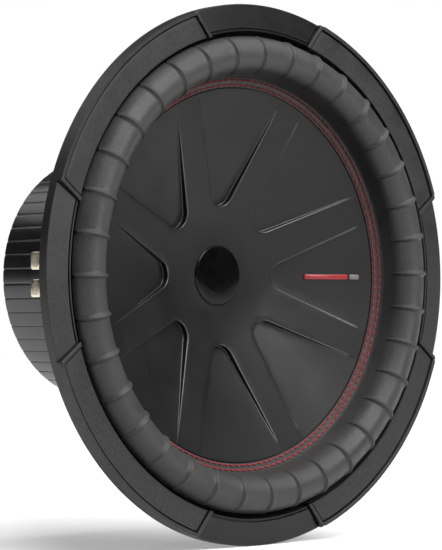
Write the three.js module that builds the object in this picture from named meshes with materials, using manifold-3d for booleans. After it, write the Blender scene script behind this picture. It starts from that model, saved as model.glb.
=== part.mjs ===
// A nominal 12-inch car subwoofer driver, standing upright as it hangs in a panel.
//
// Millimetres. The speaker's axis is Y and the cone faces -Y; +Z is up. y = 0 is the plane of the
// panel that the gasket bears on. Outlines of turned pieces are [radius, depth] points, and depth
// is measured backwards from the outer front edge of the trim ring.

import * as THREE from "three";
import { mergeVertices } from "three/addons/utils/BufferGeometryUtils.js";
import Module from "manifold-3d";

const wasm = await Module();
wasm.setup();

// ---- Driving dimensions -------------------------------------------------------------------------

const PANEL_DEPTH = 8; // from the trim ring's outer front edge to the panel
const RING_RADIUS = 159;
const RING_BORE = 142; // inside the four raised frames
const FLAT_BORE = 142.8; // between them
const FLAT_RISE = 1.5; // how far the ring between the frames leans forward at its bore
const RING_PLATE = 2.8; // thickness of the ring's flat plate
const SKIRT_DEPTH = 6.5; // how far back the ring's outer skirt reaches
const SKIRT_WALL = 1.8;
const FRAME_HEIGHT = 3; // the four raised frames, in front of the outer edge
const FRAME_LIP = 2.2;
const RECESS_FLOOR = 1.4; // depth of the pocket that a screw cover drops into
const COVER_SINK = 1; // a cover's face, below its frame's lip

const FLANGE_RADIUS = 156.3;
const FLANGE_FRONT = 4.4;
const SHEET = 1.5; // thickness of the pressed steel basket
const PANEL_HOLE_CIRCLE = 149.5; // radius of the circle of panel screws
const PANEL_HOLE_RADIUS = 2.8;
const PANEL_HOLES = 8;

const ROLL_CENTRE = 129.2; // the surround's half roll
const ROLL_HALF_WIDTH = 11.3;
const ROLL_HEIGHT = 13.2;
const ROLL_DEPTH = 4;
const ROLL_WALL = 1.3;

const CONE_EDGE = 110.6; // where the stitched band begins
const CONE_EDGE_DEPTH = 14.85;
const CONE_WALL = 1.6;
const POCKETS = 8;
const POCKET_CORNER = 8.2; // radius of a pocket's rounded inner corner
const POCKET_HALF_ANGLE = THREE.MathUtils.degToRad(23.9);
const POCKET_VIRTUAL_TIP = 29.7; // where a pocket's two long edges would meet
const POCKET_OUTER = 109.6;
const FLOOR_SLOPE = 0.325; // depth gained by a pocket's floor for each millimetre inwards

const FORMER_RADIUS = 25.9;
const FORMER_WALL = 0.5;
const COIL_FRONT = 74.8;
const COIL_REAR = 104.8;

const SHELF_DEPTH = 64.7; // the basket's spider shelf
const SEAT_DEPTH = 83.5; // the basket's motor seat
const PLATE_RADIUS = 66;
const MAGNET_RADIUS = 72;
const MAGNET_BORE = 34;
const BOOT_RADIUS = 76;
const BOOT_REAR = 147.5;
const GAP_RADIUS = 28.6; // bore of the top plate
const POLE_RADIUS = 24.8;
const VENT_RADIUS = 9;

const TERMINAL_DEPTH = 73;
const TERMINAL_TIP = 108.8; // how far the push caps reach from the speaker's axis
const TERMINAL_OFFSET = 8; // each cap above or below the middle of its block
const TERMINAL_TAIL = 84.5; // where a contact's tail comes up through the shelf
const RIVET_OFFSET = [88, 15.5]; // a rivet's distance sideways and up from the speaker's axis
const RIVET_HOLE = 1.9;

const GAP = 0.3; // between pieces that touch
const ROUND = 40; // sides of the large turned pieces
const CONE_ROUND = 32; // a multiple of the number of pockets
const SMALL_ROUND = 32;
const SPIDER_ROUND = 24;
const FASTENER_ROUND = 8;
const ARC_STEPS = 4; // half the number of steps along an arc of a flat outline

// ---- Materials ----------------------------------------------------------------------------------

function finish(color, roughness, metalness = 0) {
  return new THREE.MeshStandardMaterial({ color, roughness, metalness });
}

const blackSteel = finish(0x232323, 0.5, 0.4);
const foam = finish(0x1c1c1c, 0.95);
const ringPlastic = finish(0x2b2b2b, 0.45);
const coverPlastic = finish(0x2a2a2a, 0.6);
const surroundRubber = finish(0x3d3e3e, 0.55);
const conePolymer = finish(0x202020, 0.5);
const glossBlack = finish(0x060606, 0.08);
const redTrim = finish(0x8c1f26, 0.5);
const bootRubber = finish(0x1f1f1f, 0.35);
const bareSteel = finish(0x8f9194, 0.35, 0.9);
const ferrite = finish(0x3a3a3c, 0.8);
const aluminium = finish(0xb5b7ba, 0.3, 0.9);
const copper = finish(0xa65c32, 0.35, 0.9);
const spiderCloth = finish(0xb59a5a, 0.9);
const leadBraid = finish(0xb98a62, 0.5, 0.7);
const nickel = finish(0xc8bfae, 0.25, 0.95);
const brass = finish(0xb08d45, 0.3, 0.9);
const blockPlastic = finish(0x141414, 0.55);
const zincSteel = finish(0x9fa3a6, 0.4, 0.85);

// ---- Shape helpers ------------------------------------------------------------------------------

const at = (depth) => depth - PANEL_DEPTH;
const radians = THREE.MathUtils.degToRad;

/** A three.js geometry as a closed solid whose faces point out. */
function toSolid(geometry) {
  const bare = geometry.clone();
  bare.deleteAttribute("normal");
  bare.deleteAttribute("uv");
  const merged = mergeVertices(bare, 1e-4);
  const places = merged.getAttribute("position").array;
  const corners = merged.getIndex().array;
  const triangles = [];
  let volume = 0;
  for (let i = 0; i < corners.length; i += 3) {
    const [a, b, c] = corners.slice(i, i + 3);
    if (a === b || b === c || c === a) continue;
    triangles.push(a, b, c);
    const [pa, pb, pc] = [a, b, c].map((n) => new THREE.Vector3().fromArray(places, 3 * n));
    volume += pa.dot(pb.cross(pc));
  }
  if (volume < 0) triangles.reverse();
  const mesh = new wasm.Mesh({
    numProp: 3,
    vertProperties: new Float32Array(places),
    triVerts: new Uint32Array(triangles),
  });
  return new wasm.Manifold(mesh);
}

function toGeometry(solid) {
  const mesh = solid.getMesh();
  const geometry = new THREE.BufferGeometry();
  geometry.setAttribute("position", new THREE.BufferAttribute(new Float32Array(mesh.vertProperties), 3));
  geometry.setIndex(new THREE.BufferAttribute(new Uint32Array(mesh.triVerts), 1));
  geometry.computeVertexNormals();
  return geometry;
}

const join = (base, ...others) =>
  toGeometry(others.reduce((body, other) => body.add(toSolid(other)), toSolid(base)));
const cut = (base, ...tools) =>
  toGeometry(tools.reduce((body, tool) => body.subtract(toSolid(tool)), toSolid(base)));
const common = (base, other) => toGeometry(toSolid(base).intersect(toSolid(other)));

/** A piece turned about the local Y axis from [radius, along] points. */
function spun(points, sides) {
  const outline = [...points, points[0]].map(([radius, along]) => new THREE.Vector2(radius, along));
  return new THREE.LatheGeometry(outline, sides);
}

/** A piece turned about the speaker's axis from [radius, depth] points. */
function turned(points, sides = ROUND) {
  return spun(points, sides).translate(0, -PANEL_DEPTH, 0);
}

function tube(inner, outer, front, rear, sides = ROUND) {
  return turned([[inner, front], [outer, front], [outer, rear], [inner, rear]], sides);
}

/** A plain rod along the speaker's axis direction, centred on (x, z). */
function pin(radius, front, rear, x, z, sides = FASTENER_ROUND) {
  return turned([[0, front], [radius, front], [radius, rear], [0, rear]], sides).translate(x, 0, z);
}

/** A flat outline in X and Z, carried from one depth to another. */
function prism(shape, front, rear) {
  const geometry = new THREE.ExtrudeGeometry(shape, {
    depth: rear - front,
    bevelEnabled: false,
    curveSegments: ARC_STEPS,
  });
  return geometry.rotateX(Math.PI / 2).translate(0, at(rear), 0);
}

/** A ring sector about the +X direction, with its own half angle at each radius. */
function sector(inner, outer, innerHalf, outerHalf) {
  const shape = new THREE.Shape();
  shape.absarc(0, 0, outer, -outerHalf, outerHalf, false);
  shape.absarc(0, 0, inner, innerHalf, -innerHalf, true);
  return shape;
}

/** Turns a geometry about the speaker's axis, from +X towards +Z. */
const swung = (geometry, angle) => geometry.clone().rotateY(-angle);

function around(count, start, make) {
  return Array.from({ length: count }, (_, n) => make(start + (n * 2 * Math.PI) / count));
}

function panelHoles(front, rear) {
  return around(PANEL_HOLES, Math.PI / PANEL_HOLES, (angle) =>
    swung(pin(PANEL_HOLE_RADIUS, front, rear, PANEL_HOLE_CIRCLE, 0, 6), angle));
}

// ---- Ring, covers, gasket -----------------------------------------------------------------------

// Each end of a raised frame is a straight line between these two angles from the frame's middle.
const FRAME_HALF_OUTER = radians(26.6); // on the ring's outer radius
const FRAME_HALF_INNER = radians(29.2); // on its bore

/** The angle from a frame's middle at which its end line, moved in by an inset, meets a radius. */
function frameHalf(radius, inset) {
  const outer = new THREE.Vector2(RING_RADIUS, 0).rotateAround(new THREE.Vector2(), FRAME_HALF_OUTER);
  const inner = new THREE.Vector2(RING_BORE, 0).rotateAround(new THREE.Vector2(), FRAME_HALF_INNER);
  const along = outer.clone().sub(inner).normalize();
  const normal = new THREE.Vector2(-along.y, along.x);
  return normal.angle() - Math.acos((normal.dot(outer) - inset) / radius);
}

/** The outline of a raised frame about +X, drawn in by an inset from its outer side and its ends. */
function frameOutline(inner, outer, inset) {
  return sector(inner, outer, frameHalf(inner, inset), frameHalf(outer, inset));
}

function trimRing() {
  const base = turned([
    [FLAT_BORE, -0.9],
    [FLAT_BORE + 0.6, -FLAT_RISE],
    [RING_RADIUS - 0.6, 0],
    [RING_RADIUS, 0.6],
    [RING_RADIUS, SKIRT_DEPTH],
    [RING_RADIUS - SKIRT_WALL, SKIRT_DEPTH],
    [RING_RADIUS - SKIRT_WALL, RING_PLATE],
    [FLAT_BORE, RING_PLATE],
  ]);
  const band = tube(RING_BORE, RING_RADIUS, -FRAME_HEIGHT, RING_PLATE);
  const oversize = 5;
  const wedge = prism(
    frameOutline(RING_BORE - oversize, RING_RADIUS + oversize, 0), -FRAME_HEIGHT - 1, RING_PLATE + 1);
  const recess = prism(
    frameOutline(RING_BORE - oversize, RING_RADIUS - FRAME_LIP, FRAME_LIP),
    -FRAME_HEIGHT - 1, RECESS_FLOOR);
  const quarters = (geometry) => around(4, Math.PI / 4, (angle) => swung(geometry, angle));
  const frames = quarters(common(band, wedge));
  return cut(join(base, ...frames), ...quarters(recess), ...panelHoles(RECESS_FLOOR - 1, RING_PLATE + 1));
}

/** A screw cover, centred on +X: a plate with two wells underneath for the panel screws' heads. */
function screwCover() {
  const top = COVER_SINK - FRAME_HEIGHT;
  const inset = FRAME_LIP + GAP;
  const outline = frameOutline(RING_BORE + GAP, RING_RADIUS - inset, inset);
  const plate = prism(outline, top, RECESS_FLOOR - GAP);
  const headRoom = 5;
  const skin = 1.3;
  const wells = [-1, 1].map((side) =>
    swung(pin(headRoom, top + skin, RECESS_FLOOR, PANEL_HOLE_CIRCLE, 0), side * (Math.PI / PANEL_HOLES)));
  return cut(plate, ...wells);
}

function panelGasket() {
  const front = FLANGE_FRONT + SHEET + GAP;
  return cut(tube(142.5, 155.5, front, PANEL_DEPTH), ...panelHoles(front - 1, PANEL_DEPTH + 1));
}

// ---- Basket -------------------------------------------------------------------------------------

const WINDOWS = 6;
const WINDOW_INNER = 104.5;
const WINDOW_OUTER = 133.5;
const WINDOW_HALF_ANGLE = radians(19);
const SEAT_BORE = 31; // the hole that the voice coil passes through
const TAIL_HOLE = 2.4;
const MOTOR_SCREWS = 6;
const MOTOR_SCREW_CIRCLE = 48;

function motorScrewHoles(radius, front, rear) {
  return around(MOTOR_SCREWS, Math.PI / MOTOR_SCREWS, (angle) =>
    swung(pin(radius, front, rear, MOTOR_SCREW_CIRCLE, 0, 6), angle));
}

function basket() {
  const shell = turned([
    [FLANGE_RADIUS, FLANGE_FRONT],
    [139.7, FLANGE_FRONT],
    [136.5, 26],
    [101, 60],
    [99.5, SHELF_DEPTH],
    [73.5, SHELF_DEPTH],
    [67, SEAT_DEPTH],
    [SEAT_BORE, SEAT_DEPTH],
    [SEAT_BORE, SEAT_DEPTH + SHEET],
    [68.2, SEAT_DEPTH + SHEET],
    [74.7, SHELF_DEPTH + SHEET],
    [100.9, SHELF_DEPTH + SHEET],
    [102.7, 60.6],
    [138, 26.6],
    [140.9, FLANGE_FRONT + SHEET],
    [FLANGE_RADIUS, FLANGE_FRONT + SHEET],
  ]);
  const opening = prism(
    sector(WINDOW_INNER, WINDOW_OUTER, WINDOW_HALF_ANGLE, WINDOW_HALF_ANGLE), 20, 70);
  const windows = around(WINDOWS, Math.PI / WINDOWS, (angle) => swung(opening, angle));
  const tailHoles = terminalPlaces().map(([side, z]) =>
    pin(TAIL_HOLE, SHELF_DEPTH - 1, SHELF_DEPTH + SHEET + 1, side * TERMINAL_TAIL, z));
  const rivetHoles = rivetPlaces().map(([x, z]) =>
    pin(RIVET_HOLE, SHELF_DEPTH - 1, SHELF_DEPTH + SHEET + 1, x, z));
  return cut(shell, ...windows, ...panelHoles(3, 7), ...tailHoles, ...rivetHoles,
    ...motorScrewHoles(2.8, SEAT_DEPTH - 1, SEAT_DEPTH + SHEET + 1));
}

// ---- Diaphragm ----------------------------------------------------------------------------------

const POCKET_INNER_DEPTH = CONE_EDGE_DEPTH + FLOOR_SLOPE * CONE_EDGE;

/** The dish's front surface, from the middle to the edge. */
const DISH = [
  [0, 36],
  [24, 36],
  [38, 34.1],
  [42, 33],
  [CONE_EDGE, CONE_EDGE_DEPTH],
];

/** A pocket's outline along +X: two straight edges that run into one rounded corner. */
function pocketOutline(wall) {
  const corner = POCKET_CORNER + wall;
  const centre = POCKET_VIRTUAL_TIP + POCKET_CORNER / Math.sin(POCKET_HALF_ANGLE);
  const tangent = Math.PI / 2 + POCKET_HALF_ANGLE;
  const tip = centre - corner / Math.sin(POCKET_HALF_ANGLE);
  const reach = POCKET_OUTER + wall;
  const outerHalf = POCKET_HALF_ANGLE - Math.asin((tip * Math.sin(POCKET_HALF_ANGLE)) / reach);
  const shape = new THREE.Shape();
  shape.absarc(0, 0, reach, -outerHalf, outerHalf, false);
  shape.absarc(centre, 0, corner, tangent, 2 * Math.PI - tangent, false);
  return shape;
}

function cone() {
  const lip = [
    [CONE_EDGE, 16.15],
    [116.4, 14.05],
    [116.4, 15.3],
    [CONE_EDGE, 17.4],
    [106, 17.66],
  ];
  const back = DISH.slice(0, -1).reverse().map(([radius, depth]) => [radius, depth + CONE_WALL]);
  const shell = turned([...DISH, ...lip, ...back], CONE_ROUND);
  const floorRear = turned([
    [0, 30],
    [CONE_EDGE - 0.3, CONE_EDGE_DEPTH + 0.4],
    [CONE_EDGE - 0.3, CONE_EDGE_DEPTH + CONE_WALL],
    [0, POCKET_INNER_DEPTH + CONE_WALL],
  ], CONE_ROUND);
  const inFront = turned([
    [0, -30],
    [CONE_EDGE - 0.3, -30],
    [CONE_EDGE - 0.3, CONE_EDGE_DEPTH],
    [0, POCKET_INNER_DEPTH],
  ], CONE_ROUND);
  const tub = common(floorRear, prism(pocketOutline(CONE_WALL), 0, 60));
  const hollow = common(inFront, prism(pocketOutline(0), -10, 60));
  const eight = (geometry) => around(POCKETS, 0, (angle) => swung(geometry, angle));
  return cut(join(shell, ...eight(tub)), ...eight(hollow));
}

function centreBadge() {
  return turned([[0, 34.8], [17.4, 34.8], [18, 35.3], [18, 35.7], [0, 35.7]], SMALL_ROUND);
}

/** A slim stripe that follows the floor of the right-hand pocket. */
function accentBar() {
  const [inner, outer, halfHeight] = [66, 102, 1.5];
  const stripe = new THREE.Shape();
  stripe.moveTo(inner, -halfHeight);
  stripe.lineTo(outer, -halfHeight);
  stripe.lineTo(outer, halfHeight);
  stripe.lineTo(inner, halfHeight);
  const slab = [GAP + 0.6, GAP].map((lift) => POCKET_INNER_DEPTH - lift);
  const drop = FLOOR_SLOPE * CONE_EDGE;
  const sheet = turned([
    [0, slab[0]],
    [CONE_EDGE, slab[0] - drop],
    [CONE_EDGE, slab[1] - drop],
    [0, slab[1]],
  ], CONE_ROUND);
  return common(prism(stripe, 0, 60), sheet);
}

function braceCone() {
  return turned([[26.3, 52], [72, 30.4], [72, 31.7], [27.4, 53.9], [27.4, 56.5], [26.3, 56.5]],
    SMALL_ROUND);
}

function stitchRow(radius, depth) {
  const half = 0.35;
  return turned([[radius - half, depth - half], [radius + half, depth - half], [radius, depth + half]]);
}

function coilFormer() {
  return tube(FORMER_RADIUS - FORMER_WALL, FORMER_RADIUS, 38, COIL_REAR + 2.2, SMALL_ROUND);
}

function coilWinding(inner) {
  return tube(inner, inner + 0.7, COIL_FRONT, COIL_REAR, SMALL_ROUND);
}

// ---- Suspension ---------------------------------------------------------------------------------

/** The half roll's outline, drawn in by an inset, from its inner foot over the crest to its outer foot. */
function rollArc(inset, steps) {
  return Array.from({ length: steps + 1 }, (_, n) => {
    const angle = Math.PI * (1 - n / steps);
    const across = (ROLL_HALF_WIDTH - inset) * Math.cos(angle);
    return [ROLL_CENTRE + across, ROLL_DEPTH - (ROLL_HEIGHT - inset) * Math.sin(angle)];
  });
}

function surround() {
  const steps = 5;
  const landing = 146;
  const front = [[111.3, 14.4], [116, 12.4], ...rollArc(0, steps), [140.6, 3.1], [landing, 3.1]];
  const rear = [
    [landing, 4.1],
    ...rollArc(ROLL_WALL, steps).reverse(),
    [119.2, 11.4],
    [116.6, 13.5],
    [111.3, 15.4],
  ];
  return turned([...front, ...rear]);
}

function spider() {
  const wall = 0.8;
  const [inner, outer, landing, waves, height] = [29, 76, 82, 8, 2.2];
  const middle = SHELF_DEPTH - 0.3 - wall;
  const ripple = Array.from({ length: waves + 1 }, (_, n) => {
    const rise = n % 2 ? -height : height;
    return [inner + ((outer - inner) * n) / waves, n === waves ? middle : middle + rise];
  });
  const front = [[26.3, 60.8], [27.2, 60.8], [27.2, middle], ...ripple, [landing, middle]];
  const rear = [[landing, middle + wall], ...ripple.map(([r, d]) => [r, d + wall]).reverse(),
    [26.3, middle + wall + 1]];
  return turned([...front, ...rear], SPIDER_ROUND);
}

/** A flexible lead from the former to a contact's tail, on the side and height of its terminal. */
function tinselLead(side, z) {
  const height = Math.sign(z);
  const route = [
    [26.6, 58.6, 4.5],
    [32, 58.3, 4.7],
    [42, 55.8, 5.2],
    [54, 53.2, 5.9],
    [65, 53, 6.6],
    [75, 54.2, 7.2],
    [81.4, 56, 7.8],
    [84.2, 58.4, 8],
    [TERMINAL_TAIL, 61.2, TERMINAL_OFFSET],
  ].map(([x, depth, rise]) => new THREE.Vector3(side * x, at(depth), height * rise));
  const [leadRadius, steps] = [0.9, 18];
  const section = new THREE.Shape();
  section.absarc(0, 0, leadRadius, 0, 2 * Math.PI, false);
  return new THREE.ExtrudeGeometry(section, {
    steps,
    curveSegments: 3,
    bevelEnabled: false,
    extrudePath: new THREE.CatmullRomCurve3(route),
  });
}

// ---- Motor --------------------------------------------------------------------------------------

const TOP_PLATE_FRONT = SEAT_DEPTH + SHEET + GAP;
const TOP_PLATE_REAR = 94.3;
const MAGNET_LENGTH = 19.5;
const BACK_PLATE_FRONT = 134.2;
const BACK_PLATE_REAR = 144.2;

function topPlate() {
  const plate = tube(GAP_RADIUS, PLATE_RADIUS, TOP_PLATE_FRONT, TOP_PLATE_REAR, SMALL_ROUND);
  return cut(plate, ...motorScrewHoles(2.7, TOP_PLATE_FRONT - 1, TOP_PLATE_REAR + 1));
}

function magnet(front) {
  return tube(MAGNET_BORE, MAGNET_RADIUS, front, front + MAGNET_LENGTH, SMALL_ROUND);
}

/** Back plate and vented pole in one forging, with a shallow seat for the vent screen. */
function poleYoke() {
  return turned([
    [VENT_RADIUS, 84],
    [POLE_RADIUS, 84],
    [POLE_RADIUS, BACK_PLATE_FRONT - 2],
    [POLE_RADIUS + 2, BACK_PLATE_FRONT],
    [PLATE_RADIUS, BACK_PLATE_FRONT],
    [PLATE_RADIUS, BACK_PLATE_REAR],
    [15, BACK_PLATE_REAR],
    [15, BACK_PLATE_REAR - 1.2],
    [VENT_RADIUS, BACK_PLATE_REAR - 1.2],
  ], SMALL_ROUND);
}

function ventScreen() {
  return tube(0, 14.7, BACK_PLATE_REAR - 0.9, BACK_PLATE_REAR - 0.1, 24);
}

function motorBoot() {
  return turned([
    [MAGNET_RADIUS + GAP, 88],
    [BOOT_RADIUS, 88],
    [BOOT_RADIUS, BOOT_REAR - 2],
    [BOOT_RADIUS - 2, BOOT_REAR],
    [46, BOOT_REAR],
    [46, BACK_PLATE_REAR + GAP],
    [MAGNET_RADIUS + GAP, BACK_PLATE_REAR + GAP],
  ], SMALL_ROUND);
}

function motorScrew() {
  const [head, shank] = [4.2, 2.2];
  return turned([[0, 80.5], [head - 1, 80.5], [head, 81.5], [head, SEAT_DEPTH - GAP],
    [shank, SEAT_DEPTH - GAP], [shank, 93], [0, 93]], FASTENER_ROUND);
}

// ---- Terminals ----------------------------------------------------------------------------------

const BLOCK_INNER = 81;
const BLOCK_FACE = 94;
const BLOCK_HALF_HEIGHT = 18.5;
const BLOCK_FRONT = SHELF_DEPTH + SHEET + GAP;
const BLOCK_REAR = 79.5;
const SPRING_SEAT = 86.3; // floor of the counterbore that a spring stands in
const CAP_HALF = 5.3; // half the width of a cap, which is square with round corners
const CAP_BORE = 4.4;
const CAP_SKIRT = 97.8; // inner end of a cap at rest
const CAP_TRAVEL = 3.5;
const HEAD_INNER = 99.1; // inner face of a post's head, which keeps the cap on
const HEAD_OUTER = 103.3;
const WIRE_HOLE_RADIUS = 1.3;

function terminalPlaces() {
  return [-1, 1].flatMap((side) => [-1, 1].map((height) => [side, height * TERMINAL_OFFSET]));
}

function rivetPlaces() {
  const [sideways, up] = RIVET_OFFSET;
  return [-1, 1].flatMap((side) => [-1, 1].map((height) => [side * sideways, height * up]));
}

/** Lays a piece that was spun about Y along the terminal's own axis, +X, at its depth. */
const laidOut = (geometry) => geometry.rotateZ(-Math.PI / 2).translate(0, at(TERMINAL_DEPTH), 0);

/** A hole for the wire across a terminal, parallel to the speaker's axis. */
function wireHole(x) {
  return pin(WIRE_HOLE_RADIUS, TERMINAL_DEPTH - 10, TERMINAL_DEPTH + 10, x, 0, 8);
}

function rodAlongX(radius, inner, outer, sides) {
  return laidOut(spun([[0, inner], [radius, inner], [radius, outer], [0, outer]], sides));
}

function terminalBlock() {
  const [springBore, stemBore, floor, tailBore] = [4.3, 2.7, 1.4, 1.6];
  const [rivetX, rivetZ] = RIVET_OFFSET;
  const size = [BLOCK_FACE - BLOCK_INNER, BLOCK_REAR - BLOCK_FRONT, 2 * BLOCK_HALF_HEIGHT];
  const body = new THREE.BoxGeometry(...size)
    .translate((BLOCK_FACE + BLOCK_INNER) / 2, at((BLOCK_REAR + BLOCK_FRONT) / 2), 0);
  const cuts = [-1, 1].flatMap((height) => {
    const z = height * TERMINAL_OFFSET;
    return [
      rodAlongX(springBore, SPRING_SEAT - GAP, BLOCK_FACE + 1, 10).translate(0, 0, z),
      rodAlongX(stemBore, BLOCK_INNER + floor, BLOCK_FACE, 10).translate(0, 0, z),
      pin(tailBore, BLOCK_FRONT - 1, TERMINAL_DEPTH, TERMINAL_TAIL, z),
      pin(RIVET_HOLE, BLOCK_FRONT - 1, BLOCK_REAR + 1, rivetX, height * rivetZ),
    ];
  });
  return cut(body, ...cuts);
}

/** Contact stem, the head that keeps the cap on, and a tail that comes up through the shelf. */
function terminalPost() {
  const [stem, head, tail] = [2.3, 4, 1.2];
  const body = laidOut(spun([
    [0, BLOCK_INNER + 1.8],
    [stem, BLOCK_INNER + 1.8],
    [stem, HEAD_INNER],
    [head, HEAD_INNER],
    [head, HEAD_OUTER],
    [0, HEAD_OUTER],
  ], 10));
  return cut(join(body, pin(tail, 61.6, TERMINAL_DEPTH, TERMINAL_TAIL, 0, 6)),
    wireHole((HEAD_INNER + HEAD_OUTER) / 2));
}

/** A push cap: an inner flange stops on the post's head, and its wire hole lines up when pressed. */
function terminalCap() {
  const [corner, bevel, neck, flange, roof] = [2.4, 0.8, 2.9, 1, 1.6];
  const flat = CAP_HALF - corner;
  const outline = new THREE.Shape();
  [[1, 1], [-1, 1], [-1, -1], [1, -1]].forEach(([x, y], n) => {
    outline.absarc(x * flat, y * flat, corner, (n * Math.PI) / 2, ((n + 1) * Math.PI) / 2, false);
  });
  const body = new THREE.ExtrudeGeometry(outline, {
    depth: TERMINAL_TIP - CAP_SKIRT - 2 * bevel,
    bevelThickness: bevel,
    bevelSize: bevel,
    bevelOffset: -bevel,
    bevelSegments: 1,
    curveSegments: 2,
  }).rotateY(Math.PI / 2).translate(CAP_SKIRT + bevel, at(TERMINAL_DEPTH), 0);
  return cut(body,
    rodAlongX(neck, CAP_SKIRT - 1, CAP_SKIRT + flange + 1, 12),
    rodAlongX(CAP_BORE, CAP_SKIRT + flange, TERMINAL_TIP - roof, 12),
    wireHole((HEAD_INNER + HEAD_OUTER) / 2 + CAP_TRAVEL));
}

/** The space that a cap's coil spring fills between its seat and the cap's flange. */
function terminalSpring() {
  const [inner, outer] = [2.8, 3.9];
  return laidOut(spun([
    [inner, SPRING_SEAT],
    [outer, SPRING_SEAT],
    [outer, CAP_SKIRT - GAP],
    [inner, CAP_SKIRT - GAP],
  ], 10));
}

function rivet() {
  const [shank, head] = [1.5, 2.8];
  const frontHead = SHELF_DEPTH - GAP;
  const rearHead = BLOCK_REAR + GAP;
  return turned([[0, frontHead - 1.2], [head, frontHead - 0.8], [head, frontHead], [shank, frontHead],
    [shank, rearHead], [head, rearHead], [head, rearHead + 0.8], [0, rearHead + 1.2]], FASTENER_ROUND);
}

// ---- Assembly -----------------------------------------------------------------------------------

const speaker = new THREE.Group();

function add(name, geometry, material, parent = speaker) {
  const mesh = new THREE.Mesh(geometry, material);
  mesh.name = name;
  parent.add(mesh);
  return mesh;
}

/** A group turned about the speaker's axis, from +X towards +Z. */
function turnedGroup(angle) {
  const group = new THREE.Group();
  group.rotation.y = -angle;
  speaker.add(group);
  return group;
}

add("basket", basket(), blackSteel);
add("panel_gasket", panelGasket(), foam);
add("trim_ring", trimRing(), ringPlastic);
const cover = screwCover();
around(4, Math.PI / 4, turnedGroup).forEach((group, n) => {
  add(`screw_cover_${n + 1}`, cover, coverPlastic, group);
});

add("surround", surround(), surroundRubber);
add("cone", cone(), conePolymer);
add("centre_badge", centreBadge(), glossBlack);
add("accent_bar", accentBar(), redTrim);
add("stitch_row_inner", stitchRow(112.5, 13.1), redTrim);
add("stitch_row_outer", stitchRow(115.3, 12), redTrim);
add("brace_cone", braceCone(), conePolymer);
add("coil_former", coilFormer(), aluminium);
add("coil_winding_inner", coilWinding(FORMER_RADIUS + GAP), copper);
add("coil_winding_outer", coilWinding(FORMER_RADIUS + 0.7 + 2 * GAP), copper);
add("spider", spider(), spiderCloth);

add("top_plate", topPlate(), bareSteel);
add("magnet_front", magnet(TOP_PLATE_REAR + GAP), ferrite);
add("magnet_rear", magnet(TOP_PLATE_REAR + MAGNET_LENGTH + 2 * GAP), ferrite);
add("pole_yoke", poleYoke(), bareSteel);
add("vent_screen", ventScreen(), bareSteel);
add("motor_boot", motorBoot(), bootRubber);
const screw = motorScrew();
around(MOTOR_SCREWS, Math.PI / MOTOR_SCREWS, turnedGroup).forEach((group, n) => {
  add(`motor_screw_${n + 1}`, screw, zincSteel, group).position.x = MOTOR_SCREW_CIRCLE;
});

const pieces = { block: terminalBlock(), post: terminalPost(), cap: terminalCap(), spring: terminalSpring() };
for (const [name, angle] of [["right", 0], ["left", Math.PI]]) {
  add(`terminal_block_${name}`, pieces.block, blockPlastic, turnedGroup(angle));
}
terminalPlaces().forEach(([side, z], n) => {
  const group = turnedGroup(side > 0 ? 0 : Math.PI);
  group.position.z = z;
  add(`terminal_post_${n + 1}`, pieces.post, brass, group);
  add(`terminal_cap_${n + 1}`, pieces.cap, nickel, group);
  add(`terminal_spring_${n + 1}`, pieces.spring, zincSteel, group);
  add(`tinsel_lead_${n + 1}`, tinselLead(side, z), leadBraid);
});
const plainRivet = rivet();
rivetPlaces().forEach(([x, z], n) => {
  add(`terminal_rivet_${n + 1}`, plainRivet, zincSteel).position.set(x, 0, z);
});

export default speaker;
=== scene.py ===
"""A nominal 12-inch car subwoofer driver: its looks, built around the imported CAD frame.

Lengths in the tables below are millimetres, and are turned into metres where a mesh is made. The
speaker's axis is Y and the cone faces -Y. An outline is a list of [radius, depth] points, and depth is
measured backwards from the outer front edge of the trim ring.
"""

import math

import bmesh
import bpy
import numpy as np
from mathutils import Matrix, Vector
from mathutils.geometry import delaunay_2d_cdt


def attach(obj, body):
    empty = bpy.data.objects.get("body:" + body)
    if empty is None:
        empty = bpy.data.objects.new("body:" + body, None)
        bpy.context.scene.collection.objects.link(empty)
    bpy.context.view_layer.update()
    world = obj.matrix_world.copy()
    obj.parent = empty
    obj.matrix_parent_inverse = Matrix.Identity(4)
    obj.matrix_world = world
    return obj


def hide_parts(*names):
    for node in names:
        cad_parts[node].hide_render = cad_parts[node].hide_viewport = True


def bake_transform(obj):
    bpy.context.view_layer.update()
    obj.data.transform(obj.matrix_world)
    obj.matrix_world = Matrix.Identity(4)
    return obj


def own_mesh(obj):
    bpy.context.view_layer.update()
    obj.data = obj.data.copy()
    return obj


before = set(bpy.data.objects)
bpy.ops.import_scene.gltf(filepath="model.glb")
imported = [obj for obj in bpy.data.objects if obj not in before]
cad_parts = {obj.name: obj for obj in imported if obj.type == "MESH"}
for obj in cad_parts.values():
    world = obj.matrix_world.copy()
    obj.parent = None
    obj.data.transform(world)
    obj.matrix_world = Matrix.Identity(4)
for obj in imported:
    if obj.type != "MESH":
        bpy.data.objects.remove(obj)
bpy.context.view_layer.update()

MM = 0.001
PANEL_DEPTH = 8.0  # from the ring's outer front edge to y = 0

# ---- Camera -------------------------------------------------------------------------------------

CAMERA_PLACE = Vector((-0.9785, -1.0391, -0.0284))
CAMERA_TARGET = Vector((-0.02994, -0.008, -0.00055))
CAMERA_ROLL = math.radians(-0.08)
SENSOR_WIDTH, FOCAL_LENGTH = 36.0, 158.3


def linked(name, data):
    """A new object in the scene."""
    thing = bpy.data.objects.new(name, data)
    bpy.context.scene.collection.objects.link(thing)
    return thing


def looking(place, target):
    """The matrix of a camera or lamp at a place that points at a target."""
    return Matrix.Translation(place) @ (target - place).to_track_quat("-Z", "Y").to_matrix().to_4x4()


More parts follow.
